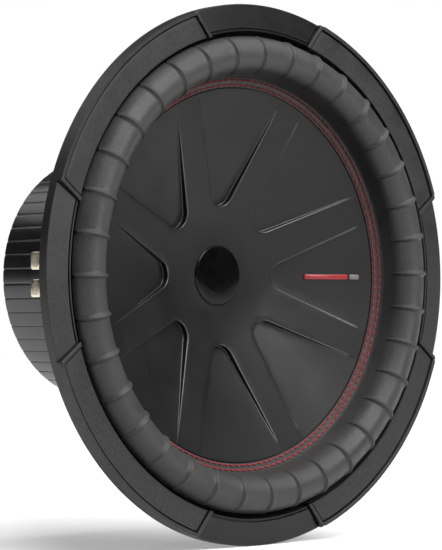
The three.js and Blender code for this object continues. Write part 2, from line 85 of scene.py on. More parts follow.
def add_camera():
    camera = linked("camera", bpy.data.cameras.new("camera"))
    camera.matrix_world = looking(CAMERA_PLACE, CAMERA_TARGET) @ Matrix.Rotation(CAMERA_ROLL, 4, "Z")
    camera.data.sensor_width = SENSOR_WIDTH
    camera.data.lens = FOCAL_LENGTH
    camera.data.clip_start = 0.01
    bpy.context.scene.camera = camera


# ---- Mesh helpers -------------------------------------------------------------------------------


def grid_faces(rows, columns, close_rows=False, close_columns=False, first=0):
    """Quads between the points of a grid that is stored row by row."""
    faces = []
    for i in range(rows if close_rows else rows - 1):
        for j in range(columns if close_columns else columns - 1):
            a, b = i * columns, ((i + 1) % rows) * columns
            k = (j + 1) % columns
            faces.append([first + a + j, first + a + k, first + b + k, first + b + j])
    return faces


def keep_crisp(mesh, sharp=35.0):
    """Smooth shading, apart from the edges that bend by more than an angle in degrees."""
    mesh.shade_smooth()
    mesh.set_sharp_from_angle(angle=math.radians(sharp))


def build(name, points, faces, sharp=35.0):
    """A mesh object from millimetre points, with its faces turned outwards and its edges kept crisp."""
    mesh = bpy.data.meshes.new(name)
    mesh.from_pydata((np.asarray(points, float) * MM).tolist(), [], faces)
    work = bmesh.new()
    work.from_mesh(mesh)
    bmesh.ops.remove_doubles(work, verts=work.verts, dist=2e-6)
    bmesh.ops.recalc_face_normals(work, faces=work.faces)
    work.to_mesh(mesh)
    work.free()
    keep_crisp(mesh, sharp)
    return linked(name, mesh)


def joined(*shapes):
    """Several (points, faces) shapes as one."""
    points, faces = [], []
    for some_points, some_faces in shapes:
        first = len(points)
        points.extend(np.asarray(some_points, float).tolist())
        faces.extend([[first + k for k in face] for face in some_faces])
    return points, faces


def rounded(outline, radius, steps=3, closed=True):
    """The outline with each corner eased by up to a radius, as far as its neighbours leave room."""
    outline = [np.array(p, float) for p in outline]
    count = len(outline)
    eased = []
    for n, corner in enumerate(outline):
        if not closed and n in (0, count - 1):
            eased.append(corner)
            continue
        before, after = outline[n - 1] - corner, outline[(n + 1) % count] - corner
        lengths = np.linalg.norm(before), np.linalg.norm(after)
        before, after = before / lengths[0], after / lengths[1]
        bend = math.acos(float(np.clip(before @ after, -1, 1)))
        if bend > math.radians(172) or corner[0] < 1e-6:
            eased.append(corner)
            continue
        reach = min(radius / math.tan(bend / 2), 0.45 * lengths[0], 0.45 * lengths[1])
        for t in np.linspace(0, 1, steps + 1):
            start, end = corner + before * reach, corner + after * reach
            eased.append((1 - t) ** 2 * start + 2 * t * (1 - t) * corner + t**2 * end)
    return eased


def turned(outline, sides=128, ease=0.3):
    """A shape turned about the speaker's axis from a closed [radius, depth] outline."""
    profile = np.array(rounded(outline, ease) if ease else outline)
    angles = around(sides)
    radius, depth = profile[:, :1], profile[:, 1:]
    points = np.stack(
        [radius * np.cos(angles), depth - PANEL_DEPTH + 0 * angles, radius * np.sin(angles)], axis=-1
    )
    return points.reshape(-1, 3), grid_faces(len(profile), sides, True, True)


def tube(inner, outer, front, rear, sides, ease=0.0):
    """A turned tube or bar, from one depth to another."""
    return turned([(inner, front), (outer, front), (outer, rear), (inner, rear)], sides, ease)


def shifted(shape, x, z):
    points, faces = shape
    return np.asarray(points) + np.array([x, 0, z]), faces


TERMINAL_DEPTH = 73.0


def laid_along_x(shape, side, z):
    """Lays a shape that was turned about Y, with depth as its length, along X at a terminal's place."""
    points, faces = shape
    points = np.asarray(points)
    length = points[:, 1] + PANEL_DEPTH
    return np.stack([side * length, points[:, 0] + TERMINAL_DEPTH - PANEL_DEPTH, points[:, 2] + z], -1), faces


def swept(path, section_radius, sides=8, ply=0.0, twist=0.0, closed=False):
    """A round bar along a path. ply and twist wind shallow strands round it, as in a twisted thread."""
    path = np.asarray(path, float)
    ahead = np.roll(path, -1, 0) - np.roll(path, 1, 0)
    if not closed:
        ahead[0], ahead[-1] = path[1] - path[0], path[-1] - path[-2]
    ahead /= np.linalg.norm(ahead, axis=1)[:, None]
    side = np.cross(ahead[0], [0.3, 1.0, 0.2])
    length, points = 0.0, []
    turn = around(sides)
    for n, (middle, forward) in enumerate(zip(path, ahead)):
        side = side - forward * (side @ forward)
        side /= np.linalg.norm(side)
        up = np.cross(forward, side)
        if n:
            length += np.linalg.norm(middle - path[n - 1])
        radius = section_radius * (1 + ply * np.cos(2 * (turn - twist * length)))
        ring = np.outer(radius * np.cos(turn), side) + np.outer(radius * np.sin(turn), up)
        points.append(middle + ring)
    faces = grid_faces(len(path), sides, closed, True)
    if not closed:
        last = (len(path) - 1) * sides
        faces.append(list(range(sides))[::-1])
        faces.append([last + k for k in range(sides)])
    return np.concatenate(points), faces


THINNEST = 1e-3  # half the height of the thinnest triangle that is kept


def plane_mesh(points, edges, keep=None):
    """Triangles through flat points, along given edges. keep(x, z) says whether a triangle stays."""
    flat = [Vector(p) for p in points]
    corners, _, faces, *_ = delaunay_2d_cdt(flat, edges, [], 0, 1e-6)
    corners = np.array([[c.x, c.y] for c in corners])
    a, b, c = (corners[[face[k] for face in faces]] for k in range(3))
    area = np.abs((b[:, 0] - a[:, 0]) * (c[:, 1] - a[:, 1]) - (b[:, 1] - a[:, 1]) * (c[:, 0] - a[:, 0])) / 2
    longest = np.max([np.linalg.norm(p - q, axis=1) for p, q in ((a, b), (b, c), (c, a))], axis=0)
    # A sliver between points on one straight edge would stand on end once the sheet is bent.
    faces = [face for face, height in zip(faces, area / longest) if height > THINNEST]
    if keep:
        faces = [f for f in faces if keep(*corners[f].mean(0))]
    return corners, faces


def sheet(corners, faces, copies, front, rear):
    """Copies of a flat sector mesh set round the axis, then closed between two surfaces.

    front and rear take arrays of x and z, and give the points of the two surfaces.
    """
    work = bmesh.new()
    for n in range(copies):
        angle = 2 * math.pi * n / copies
        c, s = math.cos(angle), math.sin(angle)
        ring = [work.verts.new((c * x - s * z, 0, s * x + c * z)) for x, z in corners]
        for face in faces:
            work.faces.new([ring[k] for k in face])
    bmesh.ops.remove_doubles(work, verts=work.verts, dist=0.01)
    work.verts.index_update()
    flat = np.array([v.co for v in work.verts])
    skin = [[v.index for v in f.verts] for f in work.faces]
    rim = [[v.index for v in e.verts] for e in work.edges if e.is_boundary]
    work.free()
    count = len(flat)
    points = np.concatenate([front(flat[:, 0], flat[:, 2]), rear(flat[:, 0], flat[:, 2])])
    walls = [[a, b, b + count, a + count] for a, b in rim]
    return points, skin + [[k + count for k in reversed(f)] for f in skin] + walls


def level(depth):
    """The flat surface at a depth, as sheet takes it."""
    return lambda x, z: np.stack([x, 0 * x + depth - PANEL_DEPTH, z], -1)


def end_caps(count, total):
    """The faces over the first and the last rows of a number of points, out of all of them."""
    return [list(range(count)), list(range(total - count, total))]


def loop_edges(first, count):
    return [(first + k, first + (k + 1) % count) for k in range(count)]


def sector_angle(turn, copies):
    """An angle round the axis, measured from the middle of the sector that it falls in."""
    half = math.pi / copies
    return (turn + half) % (2 * half) - half


def polar(radius, angle):
    return radius * math.cos(angle), radius * math.sin(angle)


def spun(radius, depth, angle):
    """The point at a radius and a depth, at an angle round the axis."""
    x, z = polar(radius, angle)
    return x, depth - PANEL_DEPTH, z


def around(count):
    """Even angles round a circle."""
    return np.linspace(0, 2 * math.pi, count, endpoint=False)


def circle(x, z, radius, count):
    return [(x + dx, z + dz) for dx, dz in (polar(radius, turn) for turn in around(count))]


def smooth_step(t):
    t = np.clip(t, 0, 1)
    return t * t * (3 - 2 * t)


def fade_out(distance, full, none):
    """Falls smoothly from 1 at one distance to 0 at another."""
    return smooth_step((none - distance) / (none - full))


def carved(piece, *cutters):
    """Cuts each (points, faces) shape out of a piece, and leaves plain mesh data behind."""
    tools = [build(f"{piece.name}_tool_{n}", *cutter) for n, cutter in enumerate(cutters)]
    for tool in tools:
        cut = piece.modifiers.new("cut", "BOOLEAN")
        cut.object = tool
        cut.solver = "EXACT"
    bpy.context.view_layer.update()
    result = bpy.data.meshes.new_from_object(piece.evaluated_get(bpy.context.evaluated_depsgraph_get()))
    piece.modifiers.clear()
    piece.data = result
    for tool in tools:
        bpy.data.objects.remove(tool)
    keep_crisp(result)


def place(piece, look, body="root", stands_for=(), slot=None):
    """Gives a piece its material and the body that it moves with, if it has one. The slot argument is not
    used.
    """
    piece.data.materials.clear()
    piece.data.materials.append(MATERIALS[look])
    if stands_for:
        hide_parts(*stands_for)
    if body:
        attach(piece, body)


def repaint(piece, look, chosen):
    """Gives another material to the faces for which chosen(x, depth, z, normal) is true."""
    piece.data.materials.append(MATERIALS[look])
    for face in piece.data.polygons:
        x, y, z = face.center / MM
        if chosen(x, y + PANEL_DEPTH, z, face.normal):
            face.material_index = len(piece.data.materials) - 1


def flex(piece, weights):
    """Bakes a piece's placing into its mesh and works out a weight for each of its points, which is then not
    used.
    """
    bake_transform(piece)
    points = np.array([v.co for v in piece.data.vertices]) / MM
    share = np.asarray(weights(points), np.float32)


# ---- Material helpers ---------------------------------------------------------------------------


def shade(level):
    """A colour or grey level, given as 0 to 255 on screen, as the linear value that a shader takes."""
    channels = level if isinstance(level, (tuple, list)) else (level,) * 3
    linear = [c / 255 / 12.92 if c / 255 <= 0.04045 else ((c / 255 + 0.055) / 1.055) ** 2.4 for c in channels]
    return (*linear, 1.0)


MATERIALS = {}


def blank_material(name, roughness, metallic, specular=0.5):
    """A plain material, kept under its name. Returns its node tree and its shader."""
    material = bpy.data.materials.new(name)
    material.use_nodes = True
    tree = material.node_tree
    shader = tree.nodes["Principled BSDF"]
    shader.inputs["Roughness"].default_value = roughness
    shader.inputs["Metallic"].default_value = metallic
    shader.inputs["Specular IOR Level"].default_value = specular
    MATERIALS[name] = material
    return tree, shader


def texture(tree, kind, size, **settings):
    """A procedural texture whose features are about a size in millimetres, on the piece's own place."""
    node = tree.nodes.new(f"ShaderNodeTex{kind}")
    node.inputs["Scale"].default_value = 1.0 / (size * MM)
    for name, value in settings.items():
        if name in node.inputs:
            node.inputs[name].default_value = value
        else:
            setattr(node, name, value)
    source = tree.nodes.new("ShaderNodeTexCoord")
    tree.links.new(source.outputs["Object"], node.inputs["Vector"])
    return node


def roughened(tree, shader, value, low, high):
    """Lets the roughness follow a value of 0 to 1, sharpened a little, from low to high."""
    node = tree.nodes.new("ShaderNodeMapRange")
    node.inputs["From Min"].default_value = 0.3
    node.inputs["From Max"].default_value = 0.7
    node.inputs["To Min"].default_value = low
    node.inputs["To Max"].default_value = high
    tree.links.new(value, node.inputs["Value"])
    tree.links.new(node.outputs["Result"], shader.inputs["Roughness"])


def coloured(tree, shader, value, *stops):
    """Lets the colour follow a value, through a ramp of (position, colour) stops."""
    node = tree.nodes.new("ShaderNodeValToRGB")
    ramp = node.color_ramp.elements
    while len(ramp) < len(stops):
        ramp.new(0.5)
    for element, (position, colour) in zip(ramp, stops):
        element.position = position
        element.color = shade(colour)
    tree.links.new(value, node.inputs["Fac"])
    tree.links.new(node.outputs["Color"], shader.inputs["Base Color"])


def added(tree, first, second, weight):
    node = tree.nodes.new("ShaderNodeMath")
    node.operation = "MULTIPLY_ADD"
    tree.links.new(second, node.inputs[0])
    node.inputs[1].default_value = weight
    tree.links.new(first, node.inputs[2])
    return node.outputs[0]


def bumped(tree, shader, height, depth):
    """Raises a surface by up to a depth in millimetres."""
    node = tree.nodes.new("ShaderNodeBump")
    node.inputs["Distance"].default_value = depth * MM
    node.inputs["Strength"].default_value = 1.0
    tree.links.new(height, node.inputs["Height"])
    tree.links.new(node.outputs["Normal"], shader.inputs["Normal"])


def moulded(name, dark, light, roughness, grain=0.5, depth=0.02, specular=0.5, patch=14.0, vary=0.06):
    """Moulded plastic, rubber or paint: fine grain, slow drifts in colour and patches of wear."""
    tree, shader = blank_material(name, roughness, 0.0, specular)
    drift = texture(tree, "Noise", patch, Detail=3.0)
    fine = texture(tree, "Noise", grain, Detail=2.0, Roughness=0.6)
    mixed = added(tree, fine.outputs["Fac"], drift.outputs["Fac"], 0.3)
    coloured(tree, shader, mixed, (0.5, dark), (0.8, light))
    roughened(tree, shader, drift.outputs["Fac"], roughness - vary, roughness + vary)
    bumped(tree, shader, fine.outputs["Fac"], depth)


def metal(name, dark, light, roughness, rings=False):
    """Plated metal under faint tarnish, with fine machining lines round the axis if it is turned."""
    line = 0.25
    tree, shader = blank_material(name, roughness, 1.0)
    tarnish = texture(tree, "Noise", 9.0, Detail=4.0)
    if rings:
        lines = texture(
            tree, "Wave", line * 6, wave_type="RINGS", rings_direction="Y", Distortion=1.5, Detail=2.0
        )
    else:
        lines = texture(tree, "Noise", line, Detail=3.0)
    height = lines.outputs["Fac"]
    mixed = added(tree, tarnish.outputs["Fac"], height, 0.35)
    coloured(tree, shader, mixed, (0.45, dark), (0.95, light))
    roughened(tree, shader, tarnish.outputs["Fac"], roughness - 0.08, roughness + 0.1)
    bumped(tree, shader, height, 0.004)


def patterned(tree, shader, pattern, depth, *stops):
    """Gives a shader a colour and a relief that follow one texture's output."""
    coloured(tree, shader, pattern, *stops)
    bumped(tree, shader, pattern, depth)


# ---- Materials ----------------------------------------------------------------------------------


def red_thread():
    tree, shader = blank_material("red_thread", 0.6, 0.0, 0.3)
    fibres = texture(tree, "Noise", 0.35, Detail=4.0, Roughness=0.7)
    patterned(tree, shader, fibres.outputs["Fac"], 0.08, (0.3, (96, 10, 20)), (0.7, (172, 34, 48)))
    shader.inputs["Sheen Weight"].default_value = 0.4


def spider_cloth():
    """Open cloth stiffened with resin: crossing rows of yarn."""
    tree, shader = blank_material("spider_cloth", 0.75, 0.0, 0.35)
    row = 0.9 * 3.1
    warp = texture(tree, "Wave", row, bands_direction="X", Distortion=0.4)
    weft = texture(tree, "Wave", row, bands_direction="Z", Distortion=0.4)
    height = added(tree, warp.outputs["Fac"], weft.outputs["Fac"], 1.0)
    patterned(tree, shader, height, 0.25, (0.35, (128, 98, 46)), (1.6, (206, 176, 104)))


def gasket_foam():
    tree, shader = blank_material("gasket_foam", 0.95, 0.0, 0.2)
    cells = texture(tree, "Voronoi", 0.9)
    patterned(tree, shader, cells.outputs["Distance"], 0.3, (0.1, 20), (0.8, 42))


def copper_wire():
    tree, shader = blank_material("copper_wire", 0.35, 1.0)
    turns = texture(tree, "Wave", 0.45 * 6.3, bands_direction="Y")
    patterned(tree, shader, turns.outputs["Fac"], 0.2, (0.0, (92, 42, 20)), (0.7, (186, 104, 60)))


def lead_braid():
    tree, shader = blank_material("lead_braid", 0.45, 0.85)
    strands = texture(tree, "Wave", 0.6 * 6.3, bands_direction="DIAGONAL", Distortion=3.0, Detail=3.0)
    patterned(tree, shader, strands.outputs["Fac"], 0.15, (0.1, (96, 66, 44)), (0.8, (206, 160, 122)))


def gloss_black():
    tree, shader = blank_material("gloss_black", 0.12, 0.0, 0.15)
    swirl = texture(tree, "Noise", 6.0, Detail=3.0)
    patterned(tree, shader, swirl.outputs["Fac"], 0.02, (0.3, 8), (0.7, 14))
    roughened(tree, shader, swirl.outputs["Fac"], 0.08, 0.16)


# Each name, with the darkest and lightest colour on screen and the roughness.
moulded("ring_plastic", 30, 52, 0.42, grain=0.8, depth=0.05, specular=0.35)
# Painted shade: a darker, glossier copy of the ring's plastic for the top and bottom flat segments.
moulded("ring_gloss_and_shade", 21, 31, 0.34, grain=0.8, depth=0.03, specular=0.25, vary=0.03)
moulded("cover_plastic", 30, 52, 0.48, grain=0.8, depth=0.06, specular=0.35)
moulded("surround_rubber", 54, 70, 0.46, grain=0.9, depth=0.03, specular=0.36)
# Painted shade: near-black rubber for the roll's outer foot, standing in for the shadow in the gap under the
# trim ring.
moulded("foot_painted_shade", 6, 12, 0.9, specular=0.1)
moulded("band_rubber", (36, 31, 30), (48, 41, 40), 0.6, grain=0.8, depth=0.05)
moulded("cone_polymer", 17, 26, 0.42, grain=0.6, depth=0.03, specular=0.25, patch=25)
# Painted highlight: a lighter, glossier copy of the cone's plastic for the edges of the pockets.
moulded("cone_painted_highlight", 62, 84, 0.25, grain=0.4, depth=0.02, patch=25)
moulded("brace_polymer", 30, 40, 0.5)
moulded("boot_rubber", 18, 27, 0.24, grain=1.2, depth=0.008, specular=0.6, vary=0.03)
moulded("black_steel", 20, 30, 0.42, grain=1.1, depth=0.04)
moulded("block_plastic", 22, 32, 0.5)
moulded("ferrite", 44, 66, 0.8, grain=0.7, depth=0.08, specular=0.3)
moulded("accent_enamel", (150, 26, 34), (184, 40, 48), 0.3, grain=0.4, depth=0.01)
moulded("accent_pale", (112, 106, 105), (132, 126, 124), 0.35, grain=0.4, depth=0.01)
metal("plated_steel", 120, 158, 0.34, rings=True)
metal("zinc_steel", 136, 176, 0.36)
metal("former_aluminium", 168, 200, 0.3)
metal("nickel", (196, 184, 164), (226, 216, 198), 0.24)
metal("contact_brass", (150, 118, 60), (192, 156, 88), 0.3)
gasket_foam()
spider_cloth()
copper_wire()
lead_braid()
red_thread()
gloss_black()

# ---- Trim ring and screw covers -----------------------------------------------------------------

RING_RADIUS = 159.0
RING_BORE = 142.0
FRAME_HALF_OUTER = math.radians(26.6)  # where a frame's straight end line meets the ring's outer radius
FRAME_HALF_INNER = math.radians(29.2)  # and its bore
QUARTER = math.pi / 2


def end_angle(radius, inset):
    """The angle from a frame's middle at which its end line, moved in by an inset, meets a radius."""
    outer = np.array(polar(RING_RADIUS, FRAME_HALF_OUTER))
    inner = np.array(polar(RING_BORE, FRAME_HALF_INNER))
    along = (outer - inner) / np.linalg.norm(outer - inner)
    normal = np.array([-along[1], along[0]])
    return math.atan2(normal[1], normal[0]) - math.acos((normal @ outer - inset) / radius)


# How far a point of the ring has risen from the flat segment to the frame's lip, and then sunk into the
# recess, at each distance in from the frame's end line. A fine groove runs along the foot of that line.
RISE = ([-0.4, -0.15, 0.1, 0.3], [0.0, 0.9, 0.98, 1.0])
SINK = ([1.8, 2.05, 2.2, 2.35], [0.0, 0.06, 0.3, 1.0])
END_GROOVE = ([-1.2, -1.05, -0.5, -0.4], [0.0, 1.1, 1.1, 0.0])
BORE = ([-0.4, 0.1], [142.8, 142.0])
FLAT_PROFILE = (
    [142.8, 142.9, 143.1, 143.95, 144.05, 144.75, 144.85, 145.1, 158.2, 158.7, 159.0],
    [-0.7, -1.2, -1.45, -1.45, 0.2, 0.2, -1.3, -1.45, -0.05, 0.1, 0.55],
)
LIP_PROFILE = ([142.0, 142.4, 158.0, 158.65, 159.0], [-2.5, -3.0, -3.0, -2.8, -2.2])
RECESS_PROFILE = ([142.0, 142.3, 156.6, 156.75, 156.9, 157.2], [1.8, 1.4, 1.4, -2.2, -2.8, -3.0])
RING_FRONT_RADII = [
    142.0, 142.3, 142.8, 142.9, 143.1, 143.95, 144.05, 144.75, 144.85, 145.1, 146.0, 148.0, 150.0,
    152.0, 154.0, 156.0, 156.6, 156.75, 156.9, 157.2, 157.6, 158.0, 158.2, 158.45, 158.7, 158.85, 159.0,
]
RING_REAR = [
    (159.0, 3.0), (159.0, 6.2), (158.7, 6.5), (157.5, 6.5), (157.2, 6.2), (157.2, 3.1), (156.9, 2.8),
    (142.3, 2.8), (142.0, 2.5),
]


def ring_depth(radius, inset):
    flat = np.interp(radius, *FLAT_PROFILE) + np.interp(inset, *END_GROOVE)
    lip = np.interp(radius, *LIP_PROFILE)
    recess = np.interp(radius, *RECESS_PROFILE)
    sunk = np.interp(inset, *SINK)
    inside = lip + (recess - lip) * sunk
    return flat + (inside - flat) * np.interp(inset, *RISE)


SHADED_GLOSS_HEIGHT = 125.0  # the flat segments that reach above and below this are smooth and glossy, and painted darker as shade
FLAT_DEPTHS = (-1.6, 0.4)  # the frames' lips are farther forward than this, and their recesses behind it


def trim_ring():
    insets = [2.6, 2.35, 2.2, 2.05, 1.8, 1.0, 0.3, 0.1, -0.15, -0.4, -0.5, -1.05, -1.2, -1.6]
    deep, shallow = insets[0], insets[-1]
    half = [("inside", share) for share in np.linspace(0, 0.97, 18)]
    half += [("end", inset) for inset in insets]
    half += [("flat", share) for share in np.linspace(0.06, 1, 12)]

    def angle_and_inset(column, radius):
        kind, value = column
        if kind == "inside":
            return value * end_angle(radius, deep), deep
        if kind == "end":
            return end_angle(radius, value), value
        start = end_angle(radius, shallow)
        return start + value * (QUARTER / 2 - start), shallow

    columns = [(column, 1) for column in half]
    columns += [(column, -1) for column in reversed(half[1:-1])]
    points = []
    for quarter in range(4):
        # A quarter runs from its frame's middle, over the flat segment, to the next frame's middle.
        for column, way in columns:
            middle = QUARTER / 2 + QUARTER * (quarter if way > 0 else quarter + 1)
            for radius, depth in [(r, None) for r in RING_FRONT_RADII] + RING_REAR:
                _, inset = angle_and_inset(column, radius)
                bore = np.interp(inset, *BORE)
                radius = max(radius, bore) if depth is None else radius + (bore - RING_BORE) * (radius < 143)
                turn, inset = angle_and_inset(column, radius)
                if depth is None:
                    depth = ring_depth(radius, inset)
                points.append(spun(radius, depth, middle + way * turn))
    rows = len(RING_FRONT_RADII) + len(RING_REAR)
    piece = build("trim_ring_shell", points, grid_faces(len(points) // rows, rows, True, True), sharp=30)
    place(piece, "ring_plastic", stands_for=["trim_ring"])

    def glossy_and_shaded(x, depth, z, _):
        on_flat = FLAT_DEPTHS[0] < depth < FLAT_DEPTHS[1]
        return on_flat and abs(z) > SHADED_GLOSS_HEIGHT and math.hypot(x, z) < RING_RADIUS - 0.1

    # The top and bottom flat segments are made glossier and painted darker, as shade.
    repaint(piece, "ring_gloss_and_shade", glossy_and_shaded)


COVER_FACE = -2.0
COVER_REAR = 1.1
COVER_INSET = 2.9
COVER_RADII = [142.3, 142.36, 142.6, 143.0, 143.6, 146.0, 149.5, 153.0, 155.4, 155.8, 156.04, 156.1]
COVER_BEVEL = ([0.0, 0.06, 0.3, 0.7], [0.8, 0.4, 0.08, 0.0])  # distance from the edge, drop
COVER_MOST_DROP = 1.2  # at a corner, where two bevels meet


def screw_cover(number, middle):
    insets = [COVER_INSET + step for step in COVER_BEVEL[0]]
    half = [("share", share) for share in np.linspace(0, 0.97, 20)]
    half += [("inset", inset) for inset in reversed(insets)]
    points = []
    for column, way in [(c, -1) for c in reversed(half[1:])] + [(c, 1) for c in half]:
        kind, value = column
        front = []
        for radius in COVER_RADII:
            turn = end_angle(radius, value) if kind == "inset" else value * end_angle(radius, insets[-1])
            from_end = value - COVER_INSET if kind == "inset" else 1.0
            edge = min(radius - COVER_RADII[0], COVER_RADII[-1] - radius)
            drop = np.interp(from_end, *COVER_BEVEL) + np.interp(edge, *COVER_BEVEL)
            front.append((radius, COVER_FACE + min(drop, COVER_MOST_DROP), turn))
        ends = [(front[-1][0], COVER_REAR, front[-1][2]), (front[0][0], COVER_REAR, front[0][2])]
        points += [spun(radius, depth, middle + way * turn) for radius, depth, turn in front + ends]
    rows = len(COVER_RADII) + 2
    faces = grid_faces(len(points) // rows, rows, False, True) + end_caps(rows, len(points))
    piece = build(f"cover_panel_{number}", points, faces, sharp=30)
    place(piece, "cover_plastic", stands_for=[f"screw_cover_{number}"])


# ---- Gasket and basket --------------------------------------------------------------------------

PANEL_HOLES = 8
PANEL_HOLE_CIRCLE = 149.5
PANEL_HOLE_RADIUS = 2.8


def flat_ring(inner, outer, front, rear):
    """A flat ring with the eight panel holes."""
    half, steps = math.pi / PANEL_HOLES, 20
    points, edges = [], []
    for radius in (inner, outer):
        first = len(points)
        points += [polar(radius, turn) for turn in np.linspace(-half, half, steps + 1)]
        edges += [(k, k + 1) for k in range(first, len(points) - 1)]
    edges += loop_edges(len(points), steps)
    points += circle(PANEL_HOLE_CIRCLE, 0, PANEL_HOLE_RADIUS, steps)

    def keep(x, z):
        in_hole = math.hypot(x - PANEL_HOLE_CIRCLE, z) < PANEL_HOLE_RADIUS
        return math.hypot(x, z) > inner * math.cos(half / steps) - 1e-3 and not in_hole

    corners, faces = plane_mesh(points, edges, keep)
    c, s = polar(1, half)
    corners = corners @ np.array([[c, s], [-s, c]])
    return sheet(corners, faces, PANEL_HOLES, level(front), level(rear))


def panel_gasket():
    piece = build("gasket_ring", *flat_ring(142.5, 155.5, 6.2, 8.0))
    place(piece, "gasket_foam", stands_for=["panel_gasket"])


SHEET = 1.5  # thickness of the pressed steel
SEAT_BORE = 31.0
BASKET_PROFILE = rounded([
    (144, 4.4), (139.7, 4.4), (136.5, 26), (101, 60), (99.5, 64.7), (73.5, 64.7), (67, 83.5),
    (SEAT_BORE, 83.5),
], 3.0, steps=4, closed=False)
WINDOWS = 6
WINDOW_INNER, WINDOW_OUTER = 104.5, 133.5
WINDOW_HALF = math.radians(19)
WINDOW_CORNER = 6.0
WINDOW_ROLL = 1.6  # how far the rolled rim of a window stands back
RIM_WIDTH = 3.4
BEAD_HEIGHT, BEAD_WIDTH = 1.6, 3.2  # the stiffening bead along the middle of each arm
BEAD_START, BEAD_END = 96.0, 138.0  # and the radii that it runs between


def window_distance(x, z):
    """How far a point lies outside the edge of the window that is centred on +X."""
    radius, turn = np.hypot(x, z), np.abs(np.arctan2(z, x))
    middle, width = (WINDOW_INNER + WINDOW_OUTER) / 2, WINDOW_OUTER - WINDOW_INNER
    across = np.abs(radius - middle) - width / 2 + WINDOW_CORNER
    along = (turn - WINDOW_HALF) * radius + WINDOW_CORNER
    outside = np.hypot(np.maximum(across, 0), np.maximum(along, 0))
    return outside + np.minimum(np.maximum(across, along), 0) - WINDOW_CORNER


def window_loop(offset):
    """The window's rounded outline, moved out by an offset."""
    corner = WINDOW_CORNER + offset
    points = []
    for radius, side, start in [
        (WINDOW_OUTER - WINDOW_CORNER, 1, 0), (WINDOW_INNER + WINDOW_CORNER, 1, 1),
        (WINDOW_INNER + WINDOW_CORNER, -1, 2), (WINDOW_OUTER - WINDOW_CORNER, -1, 3),
    ]:
        for turn in np.linspace(0, QUARTER, 7):
            out = corner * math.cos(turn + start * QUARTER)
            round_it = corner * math.sin(turn + start * QUARTER)
            at_radius = radius + out
            turn_at = side * (WINDOW_HALF - WINDOW_CORNER / radius) + round_it / radius
            points.append((at_radius, turn_at))
    loop = []
    for n, (radius, turn) in enumerate(points):
        next_radius, next_turn = points[(n + 1) % len(points)]
        steps = max(1, int(math.hypot(next_radius - radius, (next_turn - turn) * radius) / 3))
        for share in np.linspace(0, 1, steps, endpoint=False):
            loop.append(polar(radius + (next_radius - radius) * share, turn + (next_turn - turn) * share))
    return loop


def basket():
    half = math.pi / WINDOWS
    points, edges = [], []
    for offset in (0.0, 0.7, 1.4, 2.1, 2.8, RIM_WIDTH):
        loop = window_loop(offset)
        edges += loop_edges(len(points), len(loop))
        points += loop
    radii = sorted({round(float(r), 3) for r, _ in BASKET_PROFILE} | set(np.arange(105.0, 135, 5.0)))
    for radius in radii:
        # The bends on both sides of the windows are steep, so they take finer steps.
        steep = 96 < radius < 104 or radius > 134
        for turn in np.linspace(-half, half, 49 if steep else 17):
            x, z = polar(radius, turn)
            at_side = abs(turn) > half - 1e-6
            if at_side or window_distance(x, z) > RIM_WIDTH + (0.25 if steep else 1.0):
                points.append((x, z))

    def keep(x, z):
        return window_distance(x, z) > 0 and math.hypot(x, z) > SEAT_BORE * math.cos(half / 16) - 1e-3

    corners, faces = plane_mesh(points, edges, keep)
    path = np.array(BASKET_PROFILE)[::-1]
    slope = np.gradient(path, axis=0)
    slope /= np.linalg.norm(slope, axis=1)[:, None]

    def surface(x, z, lift):
        radius, turn = np.hypot(x, z), np.arctan2(z, x)
        local = sector_angle(turn, WINDOWS)
        distance = window_distance(radius * np.cos(local), radius * np.sin(local))
        bead = np.exp(-(((half - np.abs(local)) * radius / BEAD_WIDTH) ** 2)) * BEAD_HEIGHT
        bead *= smooth_step((radius - BEAD_START) / 10) * smooth_step((BEAD_END - radius) / 8)
        back = lift + WINDOW_ROLL * (1 - smooth_step(distance / RIM_WIDTH)) - bead
        across, along = (np.interp(radius, path[:, 0], slope[:, k]) for k in (0, 1))
        depth = np.interp(radius, path[:, 0], path[:, 1]) + across * back
        moved = radius - along * back
        return np.stack([moved * np.cos(turn), depth - PANEL_DEPTH, moved * np.sin(turn)], -1)

    body = sheet(
        corners, faces, WINDOWS, lambda x, z: surface(x, z, 0.0), lambda x, z: surface(x, z, SHEET)
    )
    piece = build("basket_pressing", *joined(body, flat_ring(141.5, 156.3, 4.4, 5.9)))
    place(piece, "black_steel", stands_for=["basket"])


# ---- Surround -----------------------------------------------------------------------------------

ROLL_CENTRE = 129.2
ROLL_HALF_WIDTH = 11.3
ROLL_HEIGHT = 13.2
ROLL_DEPTH = 4.0
ROLL_WALL = 1.3
ROLL_RIBS = 36
FIRST_RIB = math.radians(1.0)
RIB_HEIGHT = 1.9
RIB_HALF_WIDTH = 2.3
RIB_STEPS = [0.3, 0.6, 0.9, 1.2, 1.6, 2.0, 2.4]  # mm along the roll, either side of a rib's middle
ROLL_STEPS = [6.5, 11.2, 15.9]  # and between it and the next rib
ROLL_BEND = (117.9, 140.4)  # the radii between which flex's weight for the roll falls from 1 to 0
BAND_EDGE, PAINTED_SHADE_EDGE = 116.2, 140.2  # radii of the stitched band's edge, and of the outer foot, which is painted near-black as the ring's shadow


def roll_point(inset, share):
    """A point of the half roll, drawn in by an inset, from its inner foot at 0 to its outer foot at 1."""
    turn = math.pi * (1 - share)
    across = (ROLL_HALF_WIDTH - inset) * math.cos(turn)
    return ROLL_CENTRE + across, ROLL_DEPTH - (ROLL_HEIGHT - inset) * math.sin(turn)


